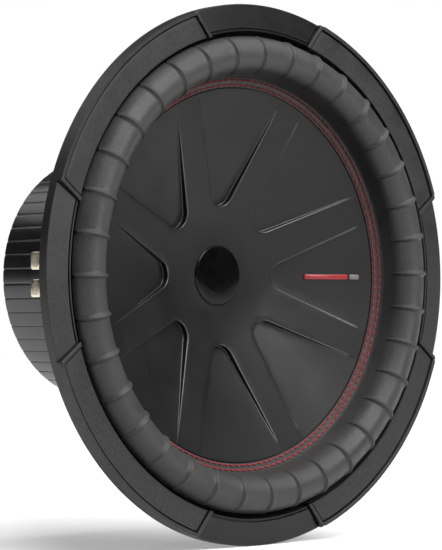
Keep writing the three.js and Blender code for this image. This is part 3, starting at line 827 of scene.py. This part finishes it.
def surround():
    front = rounded([
        (111.3, 14.9), (111.3, 14.3), (115.6, 12.6), (116.6, 11.6), (117.2, 10.0), (117.8, 4.6),
    ], 0.4, 2, closed=False)
    rows = [(radius, depth, 0.0, 0.0, 0.0) for radius, depth in front]
    for share in np.linspace(0, 1, 27):
        radius, depth = roll_point(0.0, share)
        strength = math.sin(math.pi * share)
        turn = math.pi * (1 - share)
        rows.append((radius, depth, strength, math.cos(turn), -math.sin(turn)))
    rear = [(140.6, 3.1), (141.4, 3.1), (146.0, 3.1), (146.0, 4.1), (141.4, 4.1)]
    rear += [roll_point(ROLL_WALL, share) for share in np.linspace(1, 0, 15)]
    rear += [(119.2, 11.4), (116.6, 13.5), (111.3, 15.4)]
    rows += [(radius, depth, 0.0, 0.0, 0.0) for radius, depth in rear]

    across = [-step for step in reversed(RIB_STEPS)] + [0.0] + RIB_STEPS + ROLL_STEPS
    points = []
    for rib in range(ROLL_RIBS):
        for step in across:
            turn = FIRST_RIB + 2 * math.pi * rib / ROLL_RIBS + step / ROLL_CENTRE
            for radius, depth, strength, out_radius, out_depth in rows:
                half_width = RIB_HALF_WIDTH * (0.45 + 0.55 * strength)
                shape = math.cos(min(abs(step) / half_width, 1) * math.pi / 2) ** 2
                lift = RIB_HEIGHT * strength * shape
                points.append(spun(radius + lift * out_radius, depth + lift * out_depth, turn))
    faces = grid_faces(len(points) // len(rows), len(rows), True, True)
    piece = build("surround_roll", points, faces, sharp=40)
    place(piece, "surround_rubber", body=None, stands_for=["surround"])
    repaint(piece, "band_rubber", lambda x, depth, z, normal: math.hypot(x, z) < BAND_EDGE)
    # The roll's outer foot is painted near-black as shade from the trim ring.
    repaint(piece, "foot_painted_shade", lambda x, depth, z, normal: math.hypot(x, z) > PAINTED_SHADE_EDGE)
    flex(piece, lambda p: fade_out(np.hypot(p[:, 0], p[:, 2]), *ROLL_BEND))


STITCH_ROWS = {"inner": (112.5, 13.9), "outer": (115.4, 12.7)}
STITCHES = 154
THREAD_RADIUS = 0.56


def stitch_row(row):
    """One row of lockstitch round the cone's edge: each stitch dives into the band at both its ends."""
    radius, depth = STITCH_ROWS[row]
    pitch = 2 * math.pi / STITCHES
    shapes = []
    for n in range(STITCHES):
        path = []
        for share in np.linspace(0, 1, 9):
            turn = pitch * (n + 0.1 + 0.8 * share)
            lift = 0.7 * math.sin(math.pi * share) ** 0.6 - 0.3
            lean = 0.3 * (share - 0.5)
            path.append(spun(radius + lean, depth - lift - 0.4 * lean, turn))
        shapes.append(swept(path, THREAD_RADIUS, sides=8, ply=0.12, twist=1.6))
    piece = build(f"thread_row_{row}", *joined(*shapes), sharp=60)
    place(piece, "red_thread", "diaphragm", [f"stitch_row_{row}"])


# ---- Cone ---------------------------------------------------------------------------------------

CONE_EDGE = 110.6
CONE_EDGE_DEPTH = 14.85
CONE_WALL = 1.6
POCKETS = 8
POCKET_SLANT = math.radians(23.9)  # a pocket's long edges, either side of its middle line
POCKET_TIP = 29.7  # where those edges would meet
POCKET_CORNER = 8.2
POCKET_CENTRE = POCKET_TIP + POCKET_CORNER / math.sin(POCKET_SLANT)
FLOOR_SLOPE = 0.325
DISH = np.array(rounded([(0, 36), (24, 36), (38, 34.1), (42, 33), (CONE_EDGE, CONE_EDGE_DEPTH)], 4, 4, False))
# How far the surface has dropped from the dish to the pocket's floor, at each distance in from its edge.
POCKET_WALL = (
    [-0.75, -0.5, -0.3, -0.15, -0.05, 0.05, 0.15, 0.25, 0.4, 0.65],
    [0.0, 0.02, 0.05, 0.1, 0.17, 0.5, 0.84, 0.93, 0.98, 1.0],
)
HIGHLIGHT_BANDS = [(-0.75, -0.1), (0.2, 0.65)]  # bands along the top and the foot of a pocket's wall, painted light and glossy as highlights
HIGHLIGHT_RADII = (40, CONE_EDGE - 6)


def pocket_distance(x, z):
    """How far a point lies inside the edge of the pocket that is centred on +X."""
    z = np.abs(z)
    sine, cosine = math.sin(POCKET_SLANT), math.cos(POCKET_SLANT)
    from_edge = (x - POCKET_TIP) * sine - z * cosine
    along = (x - POCKET_TIP) * cosine + z * sine
    from_corner = POCKET_CORNER - np.hypot(x - POCKET_CENTRE, z)
    return np.where(along < POCKET_CORNER / math.tan(POCKET_SLANT), from_corner, from_edge)


def pocket_line(inset):
    """The pocket's edge, drawn in by an inset, from the cone's rim round the inner corner and back."""
    corner = POCKET_CORNER - inset
    tip = POCKET_CENTRE - corner / math.sin(POCKET_SLANT)
    start = np.array(polar(CONE_EDGE, POCKET_SLANT - math.asin(tip * math.sin(POCKET_SLANT) / CONE_EDGE)))
    bend = QUARTER + POCKET_SLANT
    turns = np.linspace(bend, 2 * math.pi - bend, 15)
    corner_arc = [(POCKET_CENTRE + corner * math.cos(t), corner * math.sin(t)) for t in turns]
    upper = [tuple(start * (1 - s) + np.array(corner_arc[0]) * s) for s in np.linspace(0, 1, 26)[:-1]]
    lower = [(x, -z) for x, z in reversed(upper)]
    return upper + corner_arc + lower


def dish_depth(radius):
    return np.interp(radius, DISH[:, 0], DISH[:, 1])


def inside_pocket(x, z):
    """How far a point lies inside the nearest pocket's edge."""
    radius, local = np.hypot(x, z), sector_angle(np.arctan2(z, x), POCKETS)
    return pocket_distance(radius * np.cos(local), radius * np.sin(local))


def cone_surface(x, z):
    radius, inside = np.hypot(x, z), inside_pocket(x, z)
    floor = CONE_EDGE_DEPTH + FLOOR_SLOPE * (CONE_EDGE - radius)
    share = np.interp(inside, *POCKET_WALL)
    dish = dish_depth(radius)
    return np.stack([x, dish + (floor - dish) * share - PANEL_DEPTH, z], -1)


def cone():
    half = math.pi / POCKETS
    points, edges = [], []
    for inset in POCKET_WALL[0]:
        line = pocket_line(inset)
        edges += [(len(points) + k, len(points) + k + 1) for k in range(len(line) - 1)]
        points += line
    radii = [0, 6, 12, 18, 22] + [float(r) for r in DISH[1:-1, 0]] + list(np.arange(46, 110, 4.0))
    for radius in radii + [CONE_EDGE]:
        at_rim = radius == CONE_EDGE
        for turn in np.linspace(-half, half, 31 if at_rim else 13):
            x, z = polar(radius, turn)
            at_side = abs(turn) > half - 1e-6
            if at_side or at_rim or not -2.4 <= pocket_distance(x, z) <= 2.8:
                points.append((x, z))
    corners, faces = plane_mesh(points, edges)
    body = sheet(corners, faces, POCKETS, cone_surface, lambda x, z: cone_surface(x, z) + [0, CONE_WALL, 0])
    lip = turned([
        (108.5, 16.4), (CONE_EDGE, 16.15), (116.4, 14.05), (116.4, 15.3), (CONE_EDGE, 17.4), (108.5, 17.6),
    ])
    piece = build("cone_dish", *joined(body, lip), sharp=50)
    place(piece, "cone_polymer", "diaphragm", ["cone"])

    # Faces on those bands that face left and forward get the painted highlight.
    def painted_highlight(x, _, z, normal):
        on_edge = any(low < inside_pocket(x, z) < high for low, high in HIGHLIGHT_BANDS)
        in_reach = HIGHLIGHT_RADII[0] < math.hypot(x, z) < HIGHLIGHT_RADII[1]
        return on_edge and in_reach and normal.x < 0 and normal.y < 0

    repaint(piece, "cone_painted_highlight", painted_highlight)


def centre_badge():
    outline = [(0, 34.55), (10, 34.6), (15.5, 34.75), (17.3, 35.0), (18, 35.5), (18, 35.7), (0, 35.7)]
    piece = build("badge_disc", *turned(outline, 96, 0.4))
    place(piece, "gloss_black", "diaphragm", ["centre_badge"])


STRIP_HALF_HEIGHT = 1.5
STRIP_LAYERS = [(0.25, 0.0), (0.75, 0.0), (0.9, 0.2)]  # height above the floor, how far drawn in


def accent_strip(inner, outer):
    """A thin strip with round corners that follows the floor of the right-hand pocket."""
    low, high = -STRIP_HALF_HEIGHT, STRIP_HALF_HEIGHT
    outline = rounded([(inner, low), (outer, low), (outer, high), (inner, high)], 0.9, 4)
    points = []
    for lift, draw in STRIP_LAYERS:
        for x, z in outline:
            x = x + draw * np.sign((inner + outer) / 2 - x)
            z = z - draw * np.sign(z)
            depth = CONE_EDGE_DEPTH + FLOOR_SLOPE * (CONE_EDGE - x) - lift
            points.append((x, depth - PANEL_DEPTH, z))
    count = len(outline)
    faces = grid_faces(len(STRIP_LAYERS), count, False, True)
    return points, faces + end_caps(count, len(points))


def accent_bar():
    bar = build("accent_stripe", *accent_strip(66.0, 94.5))
    place(bar, "accent_enamel", "diaphragm", ["accent_bar"])
    tip = build("accent_tip", *accent_strip(95.6, 102.0))
    place(tip, "accent_pale", "diaphragm", slot="accent_enamel")


def brace_cone():
    outline = [(26.3, 52), (72, 30.4), (72, 31.7), (27.4, 53.9), (27.4, 56.5), (26.3, 56.5)]
    piece = build("brace_shell", *turned(outline, 96, 0.3))
    place(piece, "brace_polymer", "diaphragm", ["brace_cone"])


def voice_coil():
    former = build("former_tube", *tube(25.4, 25.9, 38, 107, 96, 0.1))
    place(former, "former_aluminium", "diaphragm", ["coil_former"])
    for name, inner in (("inner", 26.2), ("outer", 27.2)):
        piece = build(f"winding_{name}", *tube(inner, inner + 0.7, 74.8, 104.8, 96, 0.2))
        place(piece, "copper_wire", "diaphragm", [f"coil_winding_{name}"])


# ---- Spider and leads ---------------------------------------------------------------------------

SPIDER_WALL = 0.8
SPIDER_MIDDLE = 63.6
RIPPLED = (29.0, 76.0)  # the radii between which it has ripples, and over which flex's weight falls from 1 to 0
RIPPLES, RIPPLE_HEIGHT = 4, 2.2


def spider():
    front = [(26.3, 60.8), (27.2, 60.8), (27.5, SPIDER_MIDDLE)]
    for share in np.linspace(0, 1, 81):
        radius = RIPPLED[0] + (RIPPLED[1] - RIPPLED[0]) * share
        height = RIPPLE_HEIGHT * smooth_step(share * 10) * smooth_step((1 - share) * 8)
        front.append((radius, SPIDER_MIDDLE + height * math.cos(2 * math.pi * RIPPLES * share)))
    front.append((82.0, SPIDER_MIDDLE))
    rear = [(radius, depth + SPIDER_WALL) for radius, depth in reversed(front[2:])]
    rear.append((26.3, SPIDER_MIDDLE + SPIDER_WALL + 1))
    piece = build("spider_ripples", *turned(front + rear, 120, 0), sharp=45)
    place(piece, "spider_cloth", body=None, stands_for=["spider"])
    flex(piece, lambda p: fade_out(np.hypot(p[:, 0], p[:, 2]), *RIPPLED))


LEAD_ROUTE = [
    (26.6, 58.6, 4.5), (32, 58.3, 4.7), (42, 55.8, 5.2), (54, 53.2, 5.9), (65, 53, 6.6),
    (75, 54.2, 7.2), (81.4, 56, 7.8), (84.2, 58.4, 8), (84.5, 61.2, 8),
]
LEAD_RADIUS = 0.85
LEAD_BEND = (30.0, 82.0)  # the distances sideways over which flex's weight for a lead falls from 1 to 0


def smooth_path(points, steps):
    """A Catmull-Rom curve through points."""
    points = np.array(points, float)
    padded = np.concatenate([[2 * points[0] - points[1]], points, [2 * points[-1] - points[-2]]])
    path = []
    for a, b, c, d in zip(padded, padded[1:], padded[2:], padded[3:]):
        square, cube = 2 * a - 5 * b + 4 * c - d, 3 * b - a - 3 * c + d
        for t in np.linspace(0, 1, steps, endpoint=False):
            path.append(0.5 * (2 * b + (c - a) * t + square * t**2 + cube * t**3))
    path.append(points[-1])
    return np.array(path)


def tinsel_lead(number, side, height):
    route = [(side * x, depth - PANEL_DEPTH, height * rise) for x, depth, rise in LEAD_ROUTE]
    shape = swept(smooth_path(route, 10), LEAD_RADIUS, sides=12, ply=0.1, twist=1.1)
    piece = build(f"lead_braid_{number}", *shape, sharp=60)
    place(piece, "lead_braid", body=None, stands_for=[f"tinsel_lead_{number}"])
    flex(piece, lambda p: fade_out(np.abs(p[:, 0]), *LEAD_BEND))


# ---- Motor --------------------------------------------------------------------------------------

PLATE_RADIUS = 66.0
MAGNET_THICKNESS = 19.5


def motor_plates():
    plate = build("plate_front", *tube(28.6, PLATE_RADIUS, 85.3, 94.3, 128, 0.6))
    place(plate, "plated_steel", stands_for=["top_plate"])
    for name, front in (("front", 94.6), ("rear", 114.4)):
        piece = build(f"ferrite_{name}", *tube(34, 72, front, front + MAGNET_THICKNESS, 128, 1.2))
        place(piece, "ferrite", stands_for=[f"magnet_{name}"])
    yoke = build("yoke_forging", *turned([
        (9, 84), (24.8, 84), (24.8, 132.2), (26.8, 134.2), (PLATE_RADIUS, 134.2), (PLATE_RADIUS, 144.2),
        (15, 144.2), (15, 143), (9, 143),
    ], 128, 0.8))
    place(yoke, "plated_steel", stands_for=["pole_yoke"])


def vent_screen():
    """A perforated disc over the pole's vent."""
    hole, pitch, outer, perforated = 0.85, 2.5, 14.7, 9.5
    centres = []
    for row in range(-4, 5):
        for column in range(-5, 6):
            x = (column + (row % 2) / 2) * pitch
            z = row * pitch * math.sqrt(3) / 2
            if math.hypot(x, z) < perforated:
                centres.append((x, z))
    points, edges = circle(0, 0, outer, 64), loop_edges(0, 64)
    for x, z in centres:
        edges += loop_edges(len(points), 10)
        points += circle(x, z, hole, 10)

    def keep(x, z):
        return all(math.hypot(x - cx, z - cz) > hole * 0.9 for cx, cz in centres)

    corners, faces = plane_mesh(points, edges, keep)
    piece = build("vent_grille", *sheet(corners, faces, 1, level(143.3), level(144.1)))
    place(piece, "plated_steel", stands_for=["vent_screen"])


BOOT_RADIUS = 76.0
BOOT_BARS = 54
BAR_GROOVE = ([0.0, 0.18, 0.34, 0.6, 1.0], [1.0, 0.9, 0.3, 0.06, 0.0])  # mm from its middle, share of depth
GROOVE_DEPTH = 0.45
BAR_CROWN = 0.06  # how far the middle of a bar's face stands back, as it is flatter than the boot's curve


def motor_boot():
    outline = rounded([
        (72.3, 88), (BOOT_RADIUS, 88), (BOOT_RADIUS, 147.5), (46, 147.5), (46, 144.5), (72.3, 144.5),
    ], 1.6, 5)
    pitch = 2 * math.pi * BOOT_RADIUS / BOOT_BARS
    steps = BAR_GROOVE[0] + [2.2, 3.4]
    across = [-s for s in reversed(steps[1:])] + steps + [pitch / 2]
    points = []
    for bar in range(BOOT_BARS):
        for step in across:
            turn = 2 * math.pi * (bar + 0.5) / BOOT_BARS + step / BOOT_RADIUS
            groove = np.interp(abs(step), *BAR_GROOVE) * GROOVE_DEPTH
            crown = BAR_CROWN * (abs(step) / (pitch / 2) - 1) ** 2
            for radius, depth in outline:
                outside = smooth_step((radius - 73.5) / 2) * smooth_step((depth - 88.6) / 2.5)
                points.append(spun(radius - outside * (groove + crown), depth, turn))
    faces = grid_faces(len(points) // len(outline), len(outline), True, True)
    piece = build("boot_shell", points, faces, sharp=30)
    place(piece, "boot_rubber", stands_for=["motor_boot"])


MOTOR_SCREWS = 6
MOTOR_SCREW_CIRCLE = 48.0


def motor_screws():
    for n in range(MOTOR_SCREWS):
        x, z = polar(MOTOR_SCREW_CIRCLE, (2 * n + 1) * math.pi / MOTOR_SCREWS)
        head = turned([
            (0, 80.5), (3.2, 80.5), (4.2, 81.5), (4.2, 83.2), (2.2, 83.2), (2.2, 93), (0, 93),
        ], 32, 0.3)
        piece = build(f"plate_screw_{n + 1}", *shifted(head, x, z))
        carved(piece, shifted(tube(0, 1.7, 79.5, 82.0, 6), x, z))
        place(piece, "zinc_steel", stands_for=[f"motor_screw_{n + 1}"])


# ---- Terminals ----------------------------------------------------------------------------------

TERMINAL_OFFSET = 8.0
BLOCK_INNER, BLOCK_FACE = 81.0, 94.0  # distances sideways from the speaker's axis
TAIL = 84.5  # and of a contact's tail
RIVET_ACROSS, RIVET_UP = 88.0, 15.5


def box_shape(low, high):
    x, y, z = zip(low, high)
    points = [(x[a], y[b] - PANEL_DEPTH, z[c]) for a in (0, 1) for b in (0, 1) for c in (0, 1)]
    faces = [[0, 1, 3, 2], [4, 6, 7, 5], [0, 4, 5, 1], [2, 3, 7, 6], [0, 2, 6, 4], [1, 5, 7, 3]]
    return points, faces


def terminal_block(name, side):
    low, high = sorted((side * BLOCK_INNER, side * BLOCK_FACE))
    front, rear, half_height = TERMINAL_DEPTH - 6.5, TERMINAL_DEPTH + 6.5, 18.5
    piece = build(f"block_{name}", *box_shape((low, front, -half_height), (high, rear, half_height)))
    work = bmesh.new()
    work.from_mesh(piece.data)
    bmesh.ops.bevel(work, geom=work.edges, offset=1.2 * MM, segments=3, affect="EDGES", profile=0.5)
    work.to_mesh(piece.data)
    work.free()
    tools = []
    for height in (-1, 1):
        z = height * TERMINAL_OFFSET
        tools.append(laid_along_x(tube(0, 4.3, 86.0, 95, 40), side, z))
        tools.append(laid_along_x(tube(0, 2.7, 82.4, 94.5, 32), side, z))
        tools.append(shifted(tube(0, 1.6, front - 1, TERMINAL_DEPTH, 24), side * TAIL, z))
        tools.append(shifted(tube(0, 1.9, front - 1, rear + 1, 24), side * RIVET_ACROSS, height * RIVET_UP))
    carved(piece, *tools)
    place(piece, "block_plastic", stands_for=[f"terminal_block_{name}"])


def terminal_post(number, side, z):
    stem = turned([(0, 82.8), (2.3, 82.8), (2.3, 99.1), (4, 99.1), (4, 103.3), (0, 103.3)], 40, 0.3)
    tail = tube(0, 1.2, 61.6, TERMINAL_DEPTH, 20, 0.2)
    piece = build(f"post_{number}", *joined(laid_along_x(stem, side, z), shifted(tail, side * TAIL, z)))
    place(piece, "contact_brass", stands_for=[f"terminal_post_{number}"])


SQUARENESS = 8  # 2 would leave a shape round


def squared(shape, outside):
    """Draws the part of a turned shape beyond a radius out towards a square with round corners."""
    points, faces = shape
    points = np.array(points)
    radius, turn = np.hypot(points[:, 0], points[:, 2]), np.arctan2(points[:, 2], points[:, 0])
    reach = (np.abs(np.cos(turn)) ** SQUARENESS + np.abs(np.sin(turn)) ** SQUARENESS) ** (-1 / SQUARENESS)
    stretch = 1 + (reach - 1) * smooth_step((radius - outside) / 0.4)
    points[:, 0] *= stretch
    points[:, 2] *= stretch
    return points, faces


WIRE_HOLE = 104.7  # distance sideways from the speaker's axis


def terminal_cap(number, side, z):
    outer = rounded([(5.3, 97.8), (5.3, 108.8), (0, 108.8)], 1.5, 6, False)[1:]
    outline = [(2.9, 97.8), (5.0, 97.8), (5.3, 98.1)] + outer
    outline += [(0, 107.2), (4.2, 107.2), (4.4, 107.0), (4.4, 98.8), (2.9, 98.8)]
    shape = squared(turned(outline, 80, 0), 4.45)
    piece = build(f"push_cap_{number}", *laid_along_x(shape, side, z))
    carved(piece, shifted(tube(0, 1.3, 63, 83, 28), side * WIRE_HOLE, z))
    place(piece, "nickel", f"terminal_cap_{number}", [f"terminal_cap_{number}"])


SPRING_START, SPRING_END = 86.3, 97.5
SPRING_TURNS = 6


def terminal_spring(number, side, z):
    """A coil spring whose end turns lie flat."""
    wire, mean, depth = 0.45, 3.35, TERMINAL_DEPTH - PANEL_DEPTH
    length = SPRING_END - SPRING_START
    path = []
    for share in np.linspace(0, 1, SPRING_TURNS * 24 + 1):
        turn = 2 * math.pi * SPRING_TURNS * share
        rise = smooth_step((share * SPRING_TURNS - 0.5) / (SPRING_TURNS - 1)) * 0.25
        rise += 0.75 * np.clip((share * SPRING_TURNS - 0.75) / (SPRING_TURNS - 1.5), 0, 1)
        along = SPRING_START + wire + (length - 2 * wire) * rise
        path.append((side * along, depth + mean * math.cos(turn), z + mean * math.sin(turn)))
    piece = build(f"coil_spring_{number}", *swept(path, wire, sides=8), sharp=60)
    place(piece, "zinc_steel", stands_for=[f"terminal_spring_{number}"])
    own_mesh(piece)


def terminal_rivet(number, x, z):
    shape = turned([
        (0, 63.2), (2.2, 63.35), (2.8, 63.9), (2.8, 64.4), (1.5, 64.4), (1.5, 79.8), (2.8, 79.8),
        (2.8, 80.3), (2.2, 80.85), (0, 81.0),
    ], 32, 0.3)
    piece = build(f"rivet_{number}", *shifted(shape, x, z))
    place(piece, "zinc_steel", stands_for=[f"terminal_rivet_{number}"])


def terminals():
    for name, side in (("left", -1), ("right", 1)):
        terminal_block(name, side)
    for number, (side, height) in enumerate([(-1, -1), (-1, 1), (1, -1), (1, 1)], start=1):
        z = height * TERMINAL_OFFSET
        terminal_post(number, side, z)
        terminal_cap(number, side, z)
        terminal_spring(number, side, z)
        terminal_rivet(number, side * RIVET_ACROSS, height * RIVET_UP)
        tinsel_lead(number, side, height)


# ---- Floor and light ----------------------------------------------------------------------------


def add_floor():
    size = 6.0  # metres
    mesh = bpy.data.meshes.new("floor")
    corners = [(-size, -size, 0), (size, -size, 0), (size, size, 0), (-size, size, 0)]
    mesh.from_pydata(corners, [], [[0, 1, 2, 3]])
    floor = linked("floor", mesh)
    floor.location.z = -RING_RADIUS * MM
    tree, shader = blank_material("floor_paper", 0.9, 0.0, 0.1)
    fibres = texture(tree, "Noise", 8.0, Detail=3.0)
    coloured(tree, shader, fibres.outputs["Fac"], (0.3, 250), (0.7, 253))
    mesh.materials.append(MATERIALS["floor_paper"])
    floor.visible_diffuse = False  # it shows in gloss, and throws no light of its own on the speaker
    return floor


# name, place, point looked at, width and height in metres, power in watts
LIGHTS = [
    ("front", (0.4, -1.55, 0.75), (0, 0, 0), 0.8, 0.8, 17),
    ("top", (-0.35, -0.95, 1.35), (0, 0, 0), 1.2, 1.0, 20),
    ("rear", (-0.3, 1.5, 1.3), (0, 0.05, 0), 1.0, 0.8, 3),
]


def add_lights():
    for name, location, target, width, height, power in LIGHTS:
        lamp = bpy.data.lights.new(f"softbox_{name}", "AREA")
        lamp.shape = "RECTANGLE"
        lamp.size, lamp.size_y = width, height
        lamp.energy = power
        piece = linked(f"softbox_{name}", lamp)
        piece.matrix_world = looking(Vector(location), Vector(target))


SKY_DIRECTION = Vector((0.35, -0.3, 0.88))
SKY_WIDTH = math.radians(70)


def add_overhead(name, energy, lit=None):
    """A wide overhead bank, as even over the whole floor as a sun. It may light one piece only."""
    lamp = bpy.data.lights.new(name, "SUN")
    lamp.energy = energy
    lamp.angle = SKY_WIDTH
    piece = linked(name, lamp)
    piece.matrix_world = SKY_DIRECTION.to_track_quat("Z", "Y").to_matrix().to_4x4()
    if lit:
        only = bpy.data.collections.new(f"{name}_only")
        only.objects.link(lit)
        piece.light_linking.receiver_collection = only
        piece.light_linking.blocker_collection = only


WALL_LIGHT = 0.06


def add_world():
    """A white studio as the camera sees it, whose walls throw less light than they show."""
    world = bpy.data.worlds.new("studio")
    bpy.context.scene.world = world
    world.use_nodes = True
    tree = world.node_tree
    walls, seen = tree.nodes["Background"], tree.nodes.new("ShaderNodeBackground")
    for background, strength in ((walls, WALL_LIGHT), (seen, 1.0)):
        background.inputs["Color"].default_value = (1, 1, 1, 1)
        background.inputs["Strength"].default_value = strength
    ray = tree.nodes.new("ShaderNodeLightPath")
    mix = tree.nodes.new("ShaderNodeMixShader")
    tree.links.new(ray.outputs["Is Camera Ray"], mix.inputs["Fac"])
    tree.links.new(walls.outputs[0], mix.inputs[1])
    tree.links.new(seen.outputs[0], mix.inputs[2])
    tree.links.new(mix.outputs[0], tree.nodes["World Output"].inputs["Surface"])


# ---- Assembly -----------------------------------------------------------------------------------

add_camera()
trim_ring()
for n in range(4):
    screw_cover(n + 1, QUARTER / 2 + n * QUARTER)
panel_gasket()
basket()
surround()
cone()
for row in STITCH_ROWS:
    stitch_row(row)
centre_badge()
accent_bar()
brace_cone()
voice_coil()
spider()
motor_plates()
vent_screen()
motor_boot()
motor_screws()
terminals()
floor = add_floor()
add_lights()
add_overhead("overhead", 1.6)
add_overhead("floor_wash", 2.0, floor)
add_world()
bpy.context.scene.view_settings.view_transform = "Standard"
